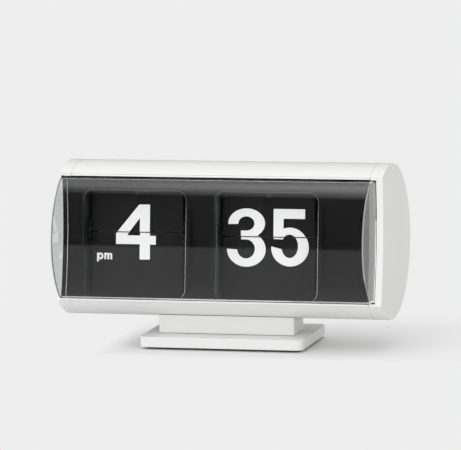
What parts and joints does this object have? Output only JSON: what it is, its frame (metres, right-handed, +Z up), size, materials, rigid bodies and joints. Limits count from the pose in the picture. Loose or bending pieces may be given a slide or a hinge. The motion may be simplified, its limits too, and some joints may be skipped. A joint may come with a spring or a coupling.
{
  "type": "flip clock",
  "caption": "Tube-shaped desk flip clock on a flat stand: white case, clear bowed cover, dark dial with split hour and minute leaves, and a full drum, gear and battery train inside.",
  "frame": {"origin": "centre of the underside of the stand's pad", "axes": "X along the tube to the viewer's right, Y to the rear, Z up"},
  "size_m": [0.185, 0.098, 0.102],
  "materials": {
    "shell": "smooth white moulded plastic",
    "stand": "smooth white moulded plastic",
    "pad": "matt dark rubber",
    "clear_cover": "clear glossy moulded cover",
    "dial": "dark satin plastic",
    "leaf": "black film with printed numerals",
    "disc": "black moulded plastic",
    "frame": "grey moulded plastic",
    "natural": "off-white acetal",
    "brass": "bright brass",
    "steel": "bright steel",
    "wheel": "knurled white plastic",
    "cell": "printed steel can, left plain"
  },
  "bodies": {
    "case": {"tube_housing": "shell", "end_cap_left": "shell", "end_cap_right": "shell", "stand_base": "stand", "stand_neck": "stand", "base_pad": "pad", "lens": "clear_cover", "dial_face": "dial", "battery_tray": "dial", "hour_lower_leaf": "leaf", "minute_lower_leaf": "leaf", "hour_leaf_pack": "leaf", "minute_leaf_pack": "leaf", "frame_plate_left": "frame", "frame_plate_centre": "frame", "frame_plate_inner": "frame", "frame_plate_right": "frame", "movement_case": "frame", "movement_cover": "natural", "main_axle": "steel", "spacer_rod_upper": "steel", "spacer_rod_lower": "steel", "finger_rail": "steel", "hour_finger": "steel", "minute_finger": "steel", "contact_plate": "steel", "contact_spring": "steel", "stand_screw_1": "steel", "stand_screw_2": "steel", "battery": "cell"},
    "minute_drum": {"minute_hub": "natural", "minute_disc_left": "disc", "minute_disc_right": "disc", "step_pinion": "brass", "set_pinion": "natural", "drive_gear": "natural"},
    "hour_drum": {"hour_hub": "natural", "hour_disc_left": "disc", "hour_disc_right": "disc", "hour_gear": "natural"},
    "transfer": {"step_arbor": "steel", "step_gear": "brass"},
    "setting": {"setting_wheel": "wheel", "setting_shaft": "steel", "set_gear": "natural"},
    "drive": {"drive_pinion": "brass", "drive_shaft": "steel"},
    "door": {"battery_door": "shell"},
    "hour_leaf": {"hour_front_leaf": "leaf"},
    "minute_leaf": {"minute_front_leaf": "leaf"}
  },
  "joints": [
    {"name": "minute_drum_turn", "type": "hinge", "parent": "case", "child": "minute_drum", "pos_m": [0.0264, -0.0031, 0.06164], "axis": [1, 0, 0], "continuous": true},
    {"name": "hour_drum_turn", "type": "hinge", "parent": "case", "child": "hour_drum", "pos_m": [-0.049, -0.0031, 0.06164], "axis": [1, 0, 0], "continuous": true},
    {"name": "transfer_turn", "type": "hinge", "parent": "case", "child": "transfer", "pos_m": [-0.0135, -0.00125, 0.07551], "axis": [1, 0, 0], "continuous": true},
    {"name": "setting_turn", "type": "hinge", "parent": "case", "child": "setting", "pos_m": [-0.00985, 0.02366, 0.05806], "axis": [1, 0, 0], "continuous": true},
    {"name": "drive_turn", "type": "hinge", "parent": "case", "child": "drive", "pos_m": [0.0586, -0.00112, 0.0765], "axis": [1, 0, 0], "continuous": true},
    {"name": "hour_leaf_fall", "type": "hinge", "parent": "case", "child": "hour_leaf", "pos_m": [-0.049, -0.01595, 0.06406], "axis": [1, 0, 0], "range_deg": [0, 178]},
    {"name": "minute_leaf_fall", "type": "hinge", "parent": "case", "child": "minute_leaf", "pos_m": [0.0264, -0.01613, 0.06267], "axis": [1, 0, 0], "range_deg": [0, 178]},
    {"name": "battery_door_swing", "type": "hinge", "parent": "case", "child": "door", "pos_m": [0.0714, 0.03051, 0.02807], "axis": [-1, 0, 0], "range_deg": [0, 95]}
  ],
  "couplings": [
    {"joint": "hour_drum_turn", "follows": "minute_drum_turn", "ratio": 0.041667},
    {"joint": "transfer_turn", "follows": "minute_drum_turn", "ratio": -0.25},
    {"joint": "setting_turn", "follows": "minute_drum_turn", "ratio": -0.8},
    {"joint": "drive_turn", "follows": "minute_drum_turn", "ratio": -4}
  ]
}
